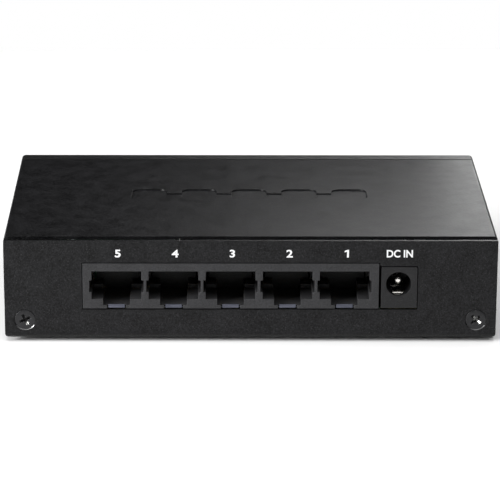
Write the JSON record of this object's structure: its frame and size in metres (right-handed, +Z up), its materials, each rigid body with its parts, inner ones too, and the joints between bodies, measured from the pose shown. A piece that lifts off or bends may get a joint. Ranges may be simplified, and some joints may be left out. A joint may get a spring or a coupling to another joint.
{
  "type": "desktop network switch",
  "caption": "Small desktop network switch in a flat black folded-steel case, with a row of modular network jacks and a round power inlet in its rear panel.",
  "frame": {"origin": "on the surface that the feet stand on, under the middle of the case", "axes": "+Z up; the rear panel with the network ports and the power inlet faces -Y; the front bezel with the lamps faces +Y; +X along the width, with the power inlet on the +X side"},
  "size_m": [0.121, 0.0754, 0.0264],
  "materials": {
    "case_steel": "fine black powder coat, satin",
    "bezel_plastic": "fine textured black moulding",
    "light_guide_plastic": "clear polycarbonate",
    "foot_rubber": "matt",
    "black_screw": "black oxide",
    "zinc_steel": "zinc plated",
    "tinned_steel": "bright tin",
    "jack_plastic": "glass-filled, dark grey",
    "dc_plastic": "black nylon",
    "nickel": "nickel plated",
    "gold_wire": "gold flash on bronze",
    "board": "green solder mask",
    "chip": "epoxy moulding compound",
    "capacitor_can": "drawn can",
    "ferrite": "pressed ferrite",
    "led_resin": "clear resin"
  },
  "bodies": {
    "case": {"bottom_chassis": "case_steel", "top_cover": "case_steel", "front_bezel": "bezel_plastic", "light_guide": "light_guide_plastic", "circuit_board": "board", "rj45_housing": "jack_plastic", "jack_shield_plate": "tinned_steel", "dc_jack_body": "dc_plastic", "dc_jack_center_pin": "nickel", "dc_jack_sleeve_terminal": "nickel", "rear_screw_left": "black_screw", "rear_screw_right": "black_screw", "switch_chip": "chip", "memory_chip": "chip", "voltage_regulator": "chip", "input_diode": "chip", "input_capacitor": "capacitor_can", "output_capacitor": "capacitor_can", "power_inductor": "ferrite", "clock_crystal": "nickel", "power_led": "led_resin", "rubber_foot_front_left": "foot_rubber", "standoff_front_left": "zinc_steel", "board_screw_front_left": "zinc_steel", "rubber_foot_front_right": "foot_rubber", "standoff_front_right": "zinc_steel", "board_screw_front_right": "zinc_steel", "rubber_foot_rear_left": "foot_rubber", "standoff_rear_left": "zinc_steel", "board_screw_rear_left": "zinc_steel", "rubber_foot_rear_right": "foot_rubber", "standoff_rear_right": "zinc_steel", "board_screw_rear_right": "zinc_steel", "port_1_block": "dc_plastic", "port_1_wires": "gold_wire", "lan_transformer_1": "chip", "port_1_led": "led_resin", "port_2_block": "dc_plastic", "port_2_wires": "gold_wire", "lan_transformer_2": "chip", "port_2_led": "led_resin", "port_3_block": "dc_plastic", "port_3_wires": "gold_wire", "lan_transformer_3": "chip", "port_3_led": "led_resin", "port_4_block": "dc_plastic", "port_4_wires": "gold_wire", "lan_transformer_4": "chip", "port_4_led": "led_resin", "port_5_block": "dc_plastic", "port_5_wires": "gold_wire", "lan_transformer_5": "chip", "port_5_led": "led_resin"},
    "dc_leaf": {"dc_jack_leaf_spring": "nickel"}
  },
  "joints": [
    {"name": "dc_leaf_flex", "type": "hinge", "parent": "case", "child": "dc_leaf", "pos_m": [0.0362, -0.0262, 0.0106], "axis": [1, 0, 0], "range_deg": [0, 6], "stiffness_Nm_per_rad": 0.05}
  ]
}
